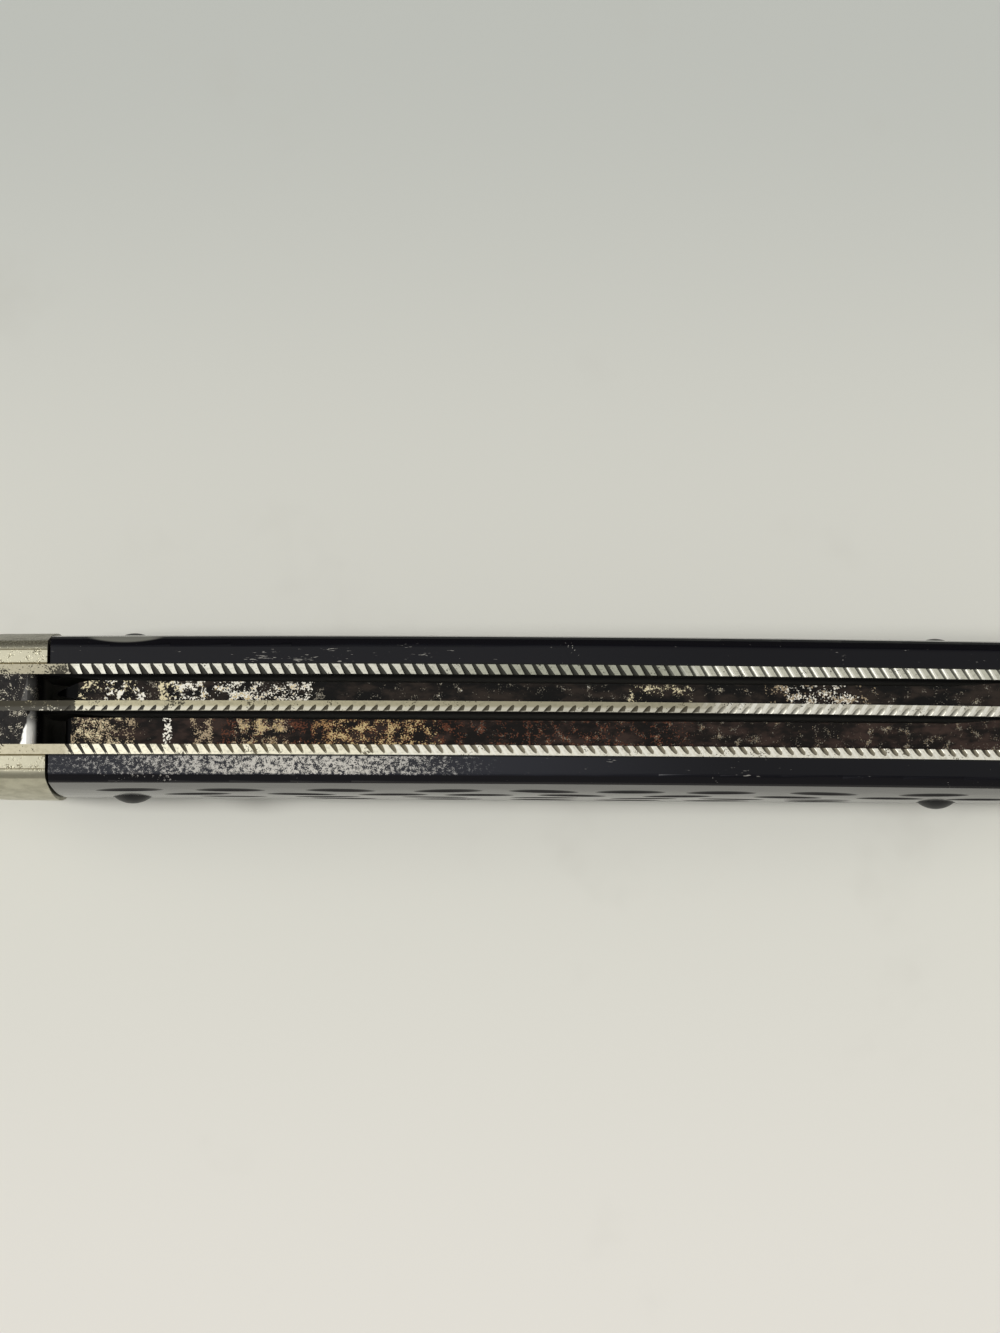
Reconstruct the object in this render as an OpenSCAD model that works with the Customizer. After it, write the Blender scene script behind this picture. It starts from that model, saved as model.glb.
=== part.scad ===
// Two-blade slip-joint pocket knife, closed, standing on its back.
// +X points to the pivot end, +Z to the open side, -Y to the mark side and +Y to the pile side.
// The origin is under the middle of the handle, on the plane that the back rests on.

/* [Handle] */
// Overall length of the handle
handle_l = 104.6; // [100:0.1:110]
// Height of the handle at the middle of its arched open side
handle_h = 18.6; // [17.8:0.1:19.6]
// Height of the handle at each rounded end
end_h = 16; // [15.4:0.1:16.8]
// Length of the two bolsters at the end away from the pivots
cap_bolster_l = 11.5; // [10:0.1:13]
// Length of the two bolsters at the pivot end
pivot_bolster_l = 14.5; // [13:0.1:16.5]

/* [Liners] */
// Thickness of each of the three liners
liner_t = 0.8; // [0.6:0.05:1]
// Width of the well that holds the main blade
main_well = 2.7; // [2.4:0.05:3]
// Width of the well that holds the second blade
second_well = 2.15; // [1.9:0.05:2.5]

/* [Milled edges] */
// Distance between grooves on the pile side liner
pile_groove_pitch = 0.957; // [0.8:0.001:1.4]
// Distance between grooves on the centre liner
centre_groove_pitch = 0.985; // [0.8:0.001:1.4]
// Distance between grooves on the mark side liner
mark_groove_pitch = 0.93; // [0.8:0.001:1.4]
// Plain stretch of each liner between the cap bolster and the first groove
groove_start = 2; // [1:0.1:5]
// Angle of the grooves in plan on the two side liners, away from square across the liner
side_groove_slant = 32; // [0:1:40]
// Angle of the grooves in plan on the centre liner
centre_groove_slant = -32; // [-40:1:0]
// Radius of the round bottom of every groove
groove_r = 0.27; // [0.2:0.01:0.35]
// Depth along the middle of the pile side liner, of its first and of its last groove
pile_groove_d = [0.1, 0.05]; // [0.02:0.005:0.2]
// Depth along the middle of the centre liner
centre_groove_d = [0.005, 0.05]; // [0:0.005:0.1]
// Depth along the middle of the mark side liner
mark_groove_d = [0.035, 0.075]; // [0.02:0.005:0.2]
// Rise towards the pile side, of the first and of the last groove of the pile side liner
pile_groove_tilt = [11, -3]; // [-25:1:25]
// Rise towards the pile side on the centre liner
centre_groove_tilt = [10, 15]; // [-25:1:25]
// Rise towards the pile side on the mark side liner
mark_groove_tilt = [-2, -20]; // [-25:1:25]

/* [Covers] */
// Thickness of a scale at its crown
scale_t = 2.9; // [2.6:0.05:3.2]
// Radius of the dome across a scale
scale_dome_r = 44; // [34:0.5:54]
// Radius that softens the edge of a scale, outside its flat edge
scale_round_r = 1.05; // [0.8:0.01:1.2]
// Thickness of a bolster at its crown
bolster_t = 3.2; // [2.9:0.05:3.6]
// Radius of the dome across a bolster
bolster_dome_r = 24; // [20:0.5:32]
// Radius that softens the edge of a bolster, outside its flat edge
bolster_round_r = 1.1; // [0.9:0.01:1.4]
// Shrinkage gap between each end of a scale and its bolster
scale_gap = 0.26; // [0.05:0.01:0.3]
// Depth of the level polished top of the covers' domes
crown_cut = 0.01; // [0.005:0.005:0.03]

/* [Jigging] */
// Distance between scoops along a row
scoop_pitch = 8; // [7.4:0.1:10]
// Distance between rows of scoops
scoop_row_pitch = 2.3; // [1.8:0.05:2.4]
// Distance from the edge of a scale to its first row of scoops
scoop_edge = 3.4; // [3.2:0.05:4.6]
// Depth of a scoop
scoop_d = 0.28; // [0.15:0.01:0.4]
// Radius of the rounded rim of the wheel that cuts a scoop
scoop_r = 1.2; // [0.9:0.05:1.5]
// Radius of the wheel that cuts a scoop
scoop_wheel_r = 15; // [10:0.5:18]
// Largest wander of a scoop along its row
scoop_wander = 1; // [0:0.1:1.2]
// Largest turn of a scoop away from its row
scoop_turn = 6; // [0:1:10]

/* [Springs] */
// Thickness of the springs at the nose, under the tangs
spring_nose_t = 2.6; // [2.3:0.05:2.9]
// Height of the springs at the centre pin
spring_mid_t = 4.9; // [4.4:0.05:5.2]
// Height of the springs beside their butt end
spring_root_t = 5.4; // [5:0.05:5.8]
// Radius inside the corner between a spring and its butt end
spring_root_r = 2.4; // [1:0.1:4]
// Radius of the worn corner at the top of a spring's butt end
butt_round_r = 1.2; // [0.5:0.05:1.6]
// How far the butt ends stop short of the inner end of the cap bolsters
butt_inset = 0.8; // [0.4:0.05:1.5]
// Length of the thin flat nose of each spring, back from its stop
nose_l = 10.3; // [9:0.1:12]

/* [Blades] */
// Distance from the pivot end of the handle to the pivot
pivot_inset = 7.3; // [7:0.1:8]
// Thickness of the main blade at its back
main_blade_t = 2.1; // [1.8:0.05:2.3]
// Thickness of the second blade at its back
second_blade_t = 1.6; // [1.3:0.05:1.75]
// Thickness of both blades at the cutting edge
edge_t = 0.25; // [0.15:0.05:0.4]
// Width of the ground bevel on each side of the main blade
main_grind_w = 5.6; // [4:0.1:7]
// Width of the ground bevel on each side of the second blade
second_grind_w = 3.6; // [3:0.1:4]
// Space between the back of the main blade and the butt end of its spring
main_tip_gap = 2.8; // [2.4:0.05:4]
// Space between the back of the second blade and the butt end of its spring
second_tip_gap = 3.35; // [2.8:0.05:4.5]
// How far the point of the main blade reaches past the end of its back
main_point = 1.5; // [0.5:0.1:2]
// How far the point of the second blade reaches past the end of its back
second_point = 2.2; // [1:0.1:2.4]
// Drop from the back of the second blade to its point
second_clip_drop = 3.5; // [3:0.1:5]
// Radius of the belly of the second blade
belly_r = 8.8; // [7:0.1:9]
// Length of the unground blade in front of the pivot
ricasso_l = 13; // [11:0.1:16]
// Distance from the pivot back to the stop for the open blade
stop_back = 1.8; // [1.2:0.1:2.4]
// Distance from the pivot forward to the end of the kick
kick_l = 7; // [5:0.1:8]
// Radius of the curve of a nail nick
nick_r = 6.5; // [5:0.1:9]
// Height of a nail nick
nick_h = 1.8; // [1:0.1:2.4]
// Lean of a nail nick's floor, which sets how deep it cuts
nick_lean = 14; // [8:1:18]
// Distance from the tip of a blade's back to the middle of its nail nick
nick_from_tip = 21; // [15:0.5:40]

/* [Pins] */
// Radius of the pivot pin
pivot_pin_r = 1.4; // [1.1:0.05:1.7]
// Radius of the cap pin
cap_pin_r = 1.1; // [0.8:0.05:1.4]
// Distance from the cap end of the handle to the cap pin
cap_pin_inset = 5.4; // [4.5:0.1:7]
// Radius of the centre pin
centre_pin_r = 0.8; // [0.6:0.05:1]
// Distance of the centre pin from the middle of the handle, towards the cap end
centre_pin_off = 2.3; // [0:0.1:6]
// Height of the centre pin above the back
centre_pin_z = 2.5; // [2:0.1:3]
// Radius of a rivet's shank
rivet_r = 0.8; // [0.6:0.05:1]
// Radius of a rivet's domed head
rivet_head_r = 1.6; // [1.3:0.05:2]
// Height of a rivet's domed head
rivet_head_h = 0.6; // [0.3:0.01:0.8]
// Distance from the bolster to the middle of the nearest rivet
rivet_from_bolster = 6.1; // [4:0.1:9]

/* [Fits] */
// Running clearance round the pivot pin and under the tangs
pivot_gap = 0.03; // [0.02:0.005:0.06]
// Running clearance on each side of a tang
tang_side_gap = 0.02; // [0.01:0.005:0.05]
// Clearance between the open blade's stop and the nose of its spring
stop_gap = 0.04; // [0.03:0.005:0.08]
// Space between a blade and the liner that it leans on
lean_gap = 0.08; // [0.05:0.01:0.15]
// Clearance between a fixed pin and its hole
pin_gap = 0.01; // [0.01:0.005:0.03]
// Space between the main blade's edge and its spring
main_edge_gap = 0.6; // [0.4:0.05:1]
// Space between the second blade's edge and its spring
second_edge_gap = 1.1; // [0.4:0.05:1.5]
// How far the ground ends of the bolster pins lie under the crown
pin_flush = 0.03; // [0.02:0.01:0.1]

/* [Hidden] */

$fn = 64;
end_fn = 96;
dome_fn = 180;
front_fn = 360;
big_fn = 720;
reach = 40;
slack = 1;
degrees = 180 / PI;
// How far a scoop's cutter stands over the surface, and half its length there.
scoop_over = 0.08;
scoop_half_l = sqrt(scoop_wheel_r * scoop_wheel_r - pow(scoop_wheel_r - scoop_d - scoop_over, 2));
// Depth of the seat of a rivet head in the crown of a scale.
rivet_seat = 0.05;
// Share of its own radius that a cover's softened corner rises before it runs into the dome.
corner_share = 0.95;
// Steps of the wander from row to row and from scoop to scoop, in degrees.
wander_row = 137;
wander_column = 61;
// Share of a row's distance that a scoop needs to itself where two rows run together.
scoop_room = 0.8;
// Keeps a last row that falls exactly on the crown line.
row_hair = 0.01;

// The long arc of the open side runs a hair inside the arcs of the ends where it meets them.
end_r = end_h / 2;
end_x = handle_l / 2 - end_r;
arch_relief = 1.01;
arch = (handle_h - end_h) * arch_relief;
side_r = (end_x * end_x / arch + handle_h) / 2;
side_z = handle_h - side_r;
meet_angle = asin(end_x / (side_r - end_r));

// Faces of the layers, from the mark side to the pile side.
stack_t = 3 * liner_t + main_well + second_well;
liner_out_y = stack_t / 2;
liner_in_y = liner_out_y - liner_t;
centre_lo_y = -liner_in_y + main_well;
centre_hi_y = centre_lo_y + liner_t;

cap_joint_x = cap_bolster_l - handle_l / 2;
pivot_joint_x = handle_l / 2 - pivot_bolster_l;
butt_x = cap_joint_x - butt_inset;
pivot_x = handle_l / 2 - pivot_inset;
pivot_z = end_r;
nose_x = pivot_x + stop_back - stop_gap;
tang_r = pivot_z - spring_nose_t - pivot_gap;
cap_pin_x = cap_pin_inset - handle_l / 2;
rivet_cap_x = cap_joint_x + rivet_from_bolster;
rivet_pivot_x = pivot_joint_x - rivet_from_bolster;

// Height of the open side above the back at a place along the handle.
function open_z(x) = side_z + sqrt(side_r * side_r - x * x);
// Height of the upper edge of a cover's crown, an arc that keeps its distance from the open side.
function crown_z(x) = side_z + sqrt(pow(side_r - end_r, 2) - x * x);
// Height of a cover's flank over the liner, at a distance from the crown.
function flank_y(t, dome_r, dist) = t - dome_r + sqrt(dome_r * dome_r - dist * dist);
// Width of a cover's flat edge beside the liner, under the softened corner.
function edge_flat(t, dome_r, round_r) = flank_y(t, dome_r, end_r - round_r) - corner_share * round_r;
// Small steady wander for hand-cut marks, between -1 and 1.
function wander(i, j) = sin(i * wander_row + j * wander_column);

module along_y(y0, y1) {
    translate([0, y1, 0])
        rotate([90, 0, 0])
            linear_extrude(y1 - y0)
                children();
}

module along_x(x0, x1) {
    translate([x0, 0, 0])
        rotate([90, 0, 90])
            linear_extrude(x1 - x0)
                children();
}

module about_y(x, z) {
    translate([x, 0, z])
        rotate([-90, 0, 0])
            rotate_extrude()
                children();
}

module pin_y(x, z, r, y0, y1) {
    translate([x, y0, z])
        rotate([-90, 0, 0])
            cylinder(r = r, h = y1 - y0);
}

// Side view of the whole handle, for the layers between the covers.
module handle_side() {
    touch_x = end_x + end_r * sin(meet_angle);
    intersection() {
        translate([0, side_z]) circle(side_r, $fn = big_fn);
        union() {
            translate([-end_x, 0]) square([2 * end_x, end_h]);
            translate([-touch_x, end_r]) square([2 * touch_x, reach]);
            translate([end_x, end_r]) circle(end_r, $fn = end_fn);
            translate([-end_x, end_r]) circle(end_r, $fn = end_fn);
        }
    }
}

// Section of a cover from its rim inward: flat edge, softened corner, dome and level crown.
module cover_profile(t, dome_r, round_r, rim, inner) {
    flat = edge_flat(t, dome_r, round_r);
    intersection() {
        translate([inner, 0]) square([rim - inner, t - crown_cut]);
        union() {
            translate([rim - end_r, t - dome_r]) circle(dome_r, $fn = dome_fn);
            if (rim - end_r > inner)
                translate([inner, 0]) square([rim - end_r - inner, t]);
        }
        union() {
            translate([inner, 0]) square([rim - inner, flat]);
            translate([inner, 0]) square([rim - round_r - inner, t + slack]);
            translate([rim - round_r, flat]) circle(round_r);
        }
    }
}

// A cover without its ends: domed towards the long arc and towards the straight back.
module cover(t, dome_r, round_r) {
    about_y(0, side_z, $fn = big_fn)
        cover_profile(t, dome_r, round_r, side_r, side_r - reach);
}

module cover_back(t, dome_r, round_r) {
    translate([-handle_l, 0, reach])
        rotate([0, 90, 0])
            linear_extrude(2 * handle_l)
                cover_profile(t, dome_r, round_r, reach, 0);
}

// The round end of a bolster, and a block for the rest of it up to where the end's arc begins.
module cover_end(t, dome_r, round_r) {
    rise = reach * cos(meet_angle);
    run = reach * sin(meet_angle);
    about_y(end_x, end_r, $fn = end_fn)
        cover_profile(t, dome_r, round_r, end_r, 0);
    along_y(-slack, t + slack)
        polygon([
            [end_x - reach, -slack], [end_x, -slack], [end_x, end_r],
            [end_x + run, end_r + rise], [end_x - reach, end_r + rise]
        ]);
}

// A round-bottomed groove runs across a liner's edge and rises towards the pile side by the tilt.
module groove(x, y, depth, slant, tilt) {
    translate([x, y, open_z(x) - depth])
        rotate([0, x / side_r * degrees, 0])
            rotate([0, 0, slant])
                rotate([tilt, 0, 0])
                    along_y(-2 * liner_t, 2 * liner_t) {
                        translate([0, groove_r]) circle(groove_r);
                        translate([-groove_r, groove_r]) square(2 * groove_r);
                    }
}

// A liner, with grooves whose depth and tilt change evenly from the cap end to the pivot end.
module liner(y0, pitch, depth, slant, tilt) {
    first_x = cap_joint_x + groove_start;
    last_x = pivot_joint_x - pitch;
    count = floor((last_x - first_x) / pitch);
    color("#c9c3b2")
        difference() {
            along_y(y0, y0 + liner_t) handle_side();
            for (i = [0 : count]) {
                part = i / count;
                groove(first_x + i * pitch, y0 + liner_t / 2,
                    depth[0] + (depth[1] - depth[0]) * part, slant, tilt[0] + (tilt[1] - tilt[0]) * part);
            }
            pin_y(pivot_x, pivot_z, pivot_pin_r + pin_gap, y0 - slack, y0 + liner_t + slack);
            pin_y(cap_pin_x, end_r, cap_pin_r + pin_gap, y0 - slack, y0 + liner_t + slack);
            pin_y(-centre_pin_off, centre_pin_z, centre_pin_r + pin_gap, y0 - slack, y0 + liner_t + slack);
            if (y0 != centre_lo_y)
                for (x = [rivet_cap_x, rivet_pivot_x])
                    pin_y(x, end_r, rivet_r + pin_gap, y0 - slack, y0 + liner_t + slack);
        }
}

module mark_liner() {
    liner(-liner_out_y, mark_groove_pitch, mark_groove_d, side_groove_slant, mark_groove_tilt);
}

module centre_liner() {
    liner(centre_lo_y, centre_groove_pitch, centre_groove_d, centre_groove_slant, centre_groove_tilt);
}

module pile_liner() {
    liner(liner_in_y, pile_groove_pitch, pile_groove_d, side_groove_slant, pile_groove_tilt);
}

// Side view of a spring: nose under the tang, thick root, and butt end up to the open side.
module spring_side() {
    butt_z = open_z(butt_x);
    intersection() {
        handle_side();
        difference() {
            union() {
                polygon([
                    [-handle_l, 0], [-handle_l, spring_root_t], [butt_x + spring_root_r, spring_root_t],
                    [-centre_pin_off, spring_mid_t], [nose_x - nose_l, spring_nose_t],
                    [nose_x, spring_nose_t], [nose_x, 0]
                ]);
                translate([-handle_l, 0]) square([handle_l + butt_x, butt_z - butt_round_r]);
                translate([-handle_l, 0]) square([handle_l + butt_x - butt_round_r, reach]);
                translate([butt_x - butt_round_r, butt_z - butt_round_r]) circle(butt_round_r);
                translate([butt_x - slack, spring_root_t - slack])
                    square([slack + spring_root_r, slack + spring_root_r]);
            }
            translate([butt_x + spring_root_r, spring_root_t + spring_root_r]) circle(spring_root_r);
        }
    }
}

module spring(y0, y1) {
    color("#5a5148")
        difference() {
            along_y(y0, y1) spring_side();
            pin_y(cap_pin_x, end_r, cap_pin_r + pin_gap, y0 - slack, y1 + slack);
            pin_y(-centre_pin_off, centre_pin_z, centre_pin_r + pin_gap, y0 - slack, y1 + slack);
        }
}

module main_spring() {
    spring(-liner_in_y, centre_lo_y);
}

module second_spring() {
    spring(centre_hi_y, liner_in_y);
}

// Side view of a tang: round working end, kick, and the stop that meets the spring when open.
module tang_side(edge_z) {
    stop_x = pivot_x - stop_back;
    front_x = pivot_x - ricasso_l;
    translate([pivot_x, pivot_z]) circle(tang_r, $fn = end_fn);
    translate([pivot_x - kick_l, pivot_z - tang_r]) square([kick_l, tang_r]);
    translate([stop_x, pivot_z]) square([stop_back, tang_r]);
    translate([front_x, edge_z]) square([stop_x - front_x, end_h - edge_z]);
}

// Plan of a blade: parallel body leaning on one liner, widening to the tang.
module blade_plan(y0, y1, tang_y0, tang_y1) {
    front_x = pivot_x - ricasso_l;
    full_x = pivot_x - kick_l;
    polygon([
        [-handle_l, y0], [front_x, y0], [full_x, tang_y0], [handle_l, tang_y0],
        [handle_l, tang_y1], [full_x, tang_y1], [front_x, y1], [-handle_l, y1]
    ]);
}

// Half sections of a ground bevel, from the edge at zero up the blade.
module grind_section(t, grind_w, height) {
    polygon([
        [0, -edge_t / 2], [grind_w, -t / 2], [height, -t / 2],
        [height, t / 2], [grind_w, t / 2], [0, edge_t / 2]
    ]);
}

module nail_nick(x) {
    translate([x, 0, end_h - nick_h - slack])
        rotate([-nick_lean, 0, 0])
            translate([0, 0, nick_h - nick_r])
                rotate([90, 0, 0])
                    cylinder(r = nick_r, h = 2 * slack);
}

module main_blade() {
    tip_x = butt_x + main_tip_gap;
    point_x = tip_x - main_point;
    front_x = pivot_x - ricasso_l;
    edge_z = spring_root_t + main_edge_gap;
    y0 = -liner_in_y + lean_gap;
    y1 = y0 + main_blade_t;
    // The front is an arc, upright at the point and meeting the back at the tip.
    rise = end_h - edge_z;
    front_r = (rise * rise / main_point + main_point) / 2;
    color("#6b5d52")
        difference() {
            intersection() {
                union() {
                    along_y(-liner_in_y, centre_lo_y) tang_side(edge_z);
                    intersection() {
                        along_y(-liner_in_y, centre_lo_y)
                            intersection() {
                                translate([point_x, edge_z]) square([front_x + slack - point_x, rise]);
                                union() {
                                    translate([point_x + front_r, edge_z]) circle(front_r, $fn = front_fn);
                                    translate([0, edge_z]) square([handle_l, rise]);
                                }
                            }
                        along_x(-handle_l, handle_l)
                            translate([(y0 + y1) / 2, edge_z])
                                rotate(90)
                                    grind_section(main_blade_t, main_grind_w, reach);
                    }
                }
                linear_extrude(reach)
                    blade_plan(y0, y1, -liner_in_y + tang_side_gap, centre_lo_y - tang_side_gap);
            }
            pin_y(pivot_x, pivot_z, pivot_pin_r + pivot_gap, -liner_out_y, liner_out_y);
            translate([0, y0, 0]) nail_nick(tip_x + nick_from_tip);
        }
}

module second_blade() {
    tip_x = butt_x + second_tip_gap;
    point_x = tip_x - second_point;
    point_z = end_h - second_clip_drop;
    front_x = pivot_x - ricasso_l;
    edge_z = spring_root_t + second_edge_gap;
    y0 = centre_hi_y + lean_gap;
    y1 = y0 + second_blade_t;
    // The belly is an arc tangent to the straight edge that passes through the point.
    belly_z = edge_z + belly_r;
    belly_x = point_x + sqrt(belly_r * belly_r - pow(belly_z - point_z, 2));
    color("#5d5249")
        difference() {
            intersection() {
                union() {
                    along_y(centre_hi_y, liner_in_y) tang_side(edge_z);
                    translate([0, (y0 + y1) / 2, 0])
                        intersection() {
                            union() {
                                intersection() {
                                    about_y(belly_x, belly_z, $fn = end_fn)
                                        translate([belly_r, 0])
                                            mirror([1, 0])
                                                grind_section(second_blade_t, second_grind_w, belly_r);
                                    along_y(-slack, slack)
                                        translate([-handle_l, 0]) square([handle_l + belly_x, reach]);
                                }
                                along_x(belly_x, front_x + slack)
                                    translate([0, edge_z])
                                        rotate(90)
                                            grind_section(second_blade_t, second_grind_w, reach);
                            }
                            along_y(-slack, slack)
                                polygon([
                                    [tip_x - 2 * second_point, edge_z], [front_x + slack, edge_z],
                                    [front_x + slack, end_h],
                                    [tip_x, end_h], [tip_x - 2 * second_point, end_h - 2 * second_clip_drop]
                                ]);
                        }
                }
                linear_extrude(reach)
                    blade_plan(y0, y1, centre_hi_y + tang_side_gap, liner_in_y - tang_side_gap);
            }
            pin_y(pivot_x, pivot_z, pivot_pin_r + pivot_gap, -liner_out_y, liner_out_y);
            translate([0, y1, 0]) mirror([0, 1, 0]) nail_nick(tip_x + nick_from_tip);
        }
}

// The rim of a round-edged cutting wheel, where it dips into a surface that faces +Y.
module scoop(turn) {
    rotate([0, turn, 0])
        intersection() {
            translate([0, scoop_wheel_r - scoop_d, 0])
                rotate_extrude($fn = end_fn)
                    translate([scoop_wheel_r - scoop_r, 0]) circle(scoop_r);
            translate([-scoop_half_l, -scoop_r, -scoop_r])
                cube([2 * scoop_half_l, scoop_r + scoop_over, 2 * scoop_r]);
        }
}

// Rows of staggered scoops that follow the open side on one flank and the back on the other.
module scoops() {
    rows = floor((end_r - scoop_edge) / scoop_row_pitch + row_hair);
    middle_x = (pivot_joint_x + cap_joint_x) / 2;
    columns = floor((pivot_joint_x - cap_joint_x) / 2 / scoop_pitch);
    for (row = [0 : rows])
        for (column = [-columns : columns])
            for (side = [-1, 1]) {
                dist = end_r - scoop_edge - row * scoop_row_pitch;
                shift = (row % 2) / 2 * scoop_pitch + wander(row + side, column) * scoop_wander;
                x = middle_x + column * scoop_pitch + shift;
                z = side > 0 ? crown_z(x) + dist : end_r - dist;
                near = min(abs(x - rivet_cap_x), abs(x - rivet_pivot_x));
                clear = abs(z - end_r) > rivet_head_r + scoop_r || near > rivet_head_r + scoop_half_l;
                inside = abs(x - middle_x) < (pivot_joint_x - cap_joint_x) / 2 - scoop_half_l / 2;
                room = side > 0 || crown_z(x) - end_r + 2 * dist > scoop_row_pitch * scoop_room;
                if (clear && inside && room)
                    translate([x, flank_y(scale_t, scale_dome_r, dist), z])
                        rotate([side * asin(dist / scale_dome_r), 0, 0])
                            rotate([0, side > 0 ? x / side_r * degrees : 0, 0])
                                scoop(wander(column, row + side) * scoop_turn);
            }
}

module scale_cover() {
    x0 = cap_joint_x + scale_gap;
    x1 = pivot_joint_x - scale_gap;
    color("#1b1a1c")
        translate([0, liner_out_y, 0])
            difference() {
                intersection() {
                    cover(scale_t, scale_dome_r, scale_round_r);
                    cover_back(scale_t, scale_dome_r, scale_round_r);
                    translate([x0, -slack, -slack]) cube([x1 - x0, scale_t + 2 * slack, reach]);
                }
                scoops();
                pin_y(-centre_pin_off, centre_pin_z, centre_pin_r + pin_gap, -slack, scale_t + slack);
                for (x = [rivet_cap_x, rivet_pivot_x]) {
                    pin_y(x, end_r, rivet_r + pin_gap, -slack, scale_t + slack);
                    pin_y(x, end_r, rivet_head_r + pin_gap, scale_t - rivet_seat, scale_t + slack);
                }
            }
}

module pile_scale() {
    scale_cover();
}

module mark_scale() {
    mirror([0, 1, 0]) scale_cover();
}

// A bolster at the pivot end, or its mirror image at the other end, from its joint outward.
module bolster_cover(joint_x, pin_x, pin_z, r) {
    color("#b9b2a1")
        translate([0, liner_out_y, 0])
            difference() {
                intersection() {
                    cover(bolster_t, bolster_dome_r, bolster_round_r);
                    cover_back(bolster_t, bolster_dome_r, bolster_round_r);
                    cover_end(bolster_t, bolster_dome_r, bolster_round_r);
                    translate([joint_x, -slack, -slack]) cube([handle_l, bolster_t + 2 * slack, reach]);
                }
                pin_y(pin_x, pin_z, r + pin_gap, -slack, bolster_t + slack);
            }
}

module pile_cap_bolster() {
    mirror([1, 0, 0]) bolster_cover(-cap_joint_x, -cap_pin_x, end_r, cap_pin_r);
}

module mark_cap_bolster() {
    mirror([0, 1, 0]) pile_cap_bolster();
}

module pile_pivot_bolster() {
    bolster_cover(pivot_joint_x, pivot_x, pivot_z, pivot_pin_r);
}

module mark_pivot_bolster() {
    mirror([0, 1, 0]) pile_pivot_bolster();
}

// A pin through both bolsters, its ends ground to the bolsters' domes.
module bolster_pin(x, z, r, end) {
    top_y = liner_out_y + bolster_t - pin_flush;
    color("#aaa391")
        intersection() {
            pin_y(x, z, r, -liner_out_y - bolster_t, liner_out_y + bolster_t);
            both_domes(end * end_x, top_y - bolster_dome_r);
        }
}

module both_domes(x, y) {
    intersection() {
        translate([x, y, end_r]) sphere(bolster_dome_r, $fn = dome_fn);
        translate([x, -y, end_r]) sphere(bolster_dome_r, $fn = dome_fn);
    }
}

module pivot_pin() {
    bolster_pin(pivot_x, pivot_z, pivot_pin_r, 1);
}

module cap_pin() {
    bolster_pin(cap_pin_x, end_r, cap_pin_r, -1);
}

// The pin that holds the springs, its ends filed to the scales' lower flanks.
module centre_pin() {
    axis_y = liner_out_y + scale_t - pin_flush - scale_dome_r;
    color("#aaa391")
        intersection() {
            pin_y(-centre_pin_off, centre_pin_z, centre_pin_r, -liner_out_y - scale_t, liner_out_y + scale_t);
            translate([-reach, axis_y, end_r])
                rotate([0, 90, 0])
                    cylinder(r = scale_dome_r, h = 2 * reach, $fn = dome_fn);
            translate([-reach, -axis_y, end_r])
                rotate([0, 90, 0])
                    cylinder(r = scale_dome_r, h = 2 * reach, $fn = dome_fn);
        }
}

// A rivet through one scale and its liner, with a domed head seated in the scale.
module rivet(x) {
    base_y = liner_out_y + scale_t - rivet_seat;
    head_sphere_r = (rivet_head_r * rivet_head_r + rivet_head_h * rivet_head_h) / (2 * rivet_head_h);
    color("#b9b2a1") {
        pin_y(x, end_r, rivet_r, liner_in_y, base_y);
        intersection() {
            translate([x, base_y + rivet_head_h - head_sphere_r, end_r]) sphere(head_sphere_r, $fn = end_fn);
            pin_y(x, end_r, rivet_head_r, base_y, base_y + slack);
        }
    }
}

module pile_rivet_cap_end() {
    rivet(rivet_cap_x);
}

module pile_rivet_pivot_end() {
    rivet(rivet_pivot_x);
}

module mark_rivet_cap_end() {
    mirror([0, 1, 0]) rivet(rivet_cap_x);
}

module mark_rivet_pivot_end() {
    mirror([0, 1, 0]) rivet(rivet_pivot_x);
}

mark_scale();
pile_scale();
mark_liner();
centre_liner();
pile_liner();
main_spring();
second_spring();
main_blade();
second_blade();
mark_cap_bolster();
pile_cap_bolster();
mark_pivot_bolster();
pile_pivot_bolster();
pivot_pin();
centre_pin();
cap_pin();
mark_rivet_cap_end();
mark_rivet_pivot_end();
pile_rivet_cap_end();
pile_rivet_pivot_end();
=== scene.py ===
# Pocket knife with two blades, closed and standing on its back, seen from above its open side.
# Places and sizes in the materials are millimetres on the knife. All else is metres.

import math

import bpy
from mathutils import Euler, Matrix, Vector

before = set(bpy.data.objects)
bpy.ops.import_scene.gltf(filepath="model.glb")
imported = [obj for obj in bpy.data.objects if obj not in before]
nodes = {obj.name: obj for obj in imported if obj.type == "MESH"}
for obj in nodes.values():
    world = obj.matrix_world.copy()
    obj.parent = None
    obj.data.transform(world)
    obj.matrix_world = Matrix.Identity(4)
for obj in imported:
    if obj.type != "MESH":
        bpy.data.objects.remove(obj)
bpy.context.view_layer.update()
bpy.context.scene.view_settings.view_transform = "Standard"


# The camera looks almost straight down into the wells from 25 cm, a little from the mark side.
# The mark side is -Y, low in the picture, and the pile side is +Y, high in it.

look_at = Vector((-0.0044, 0.00356, 0.0175))
camera_reach = 0.25
camera_lean = math.radians(5.8)
camera_roll = math.radians(0.4)
camera_turn = Euler((camera_lean, 0, camera_roll))
camera_data = bpy.data.cameras.new("camera")
camera_data.sensor_width = 36
camera_data.lens = 84.4
camera_data.clip_start = 0.01
camera_data.clip_end = 20
camera = bpy.data.objects.new("camera", camera_data)
camera.rotation_euler = camera_turn
camera.location = look_at + camera_turn.to_matrix() @ Vector((0, 0, camera_reach))
bpy.context.scene.collection.objects.link(camera)
bpy.context.scene.camera = camera


# The table is a smooth pale sheet with faint smudges, painted lighter towards the mark side and around the
# knife.
# It lies under the back of the knife, and the knife stands on it.

srgb_white = 255
srgb_toe_end = 0.04045
srgb_toe_slope = 12.92
srgb_offset = 0.055
srgb_power = 2.4


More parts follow.
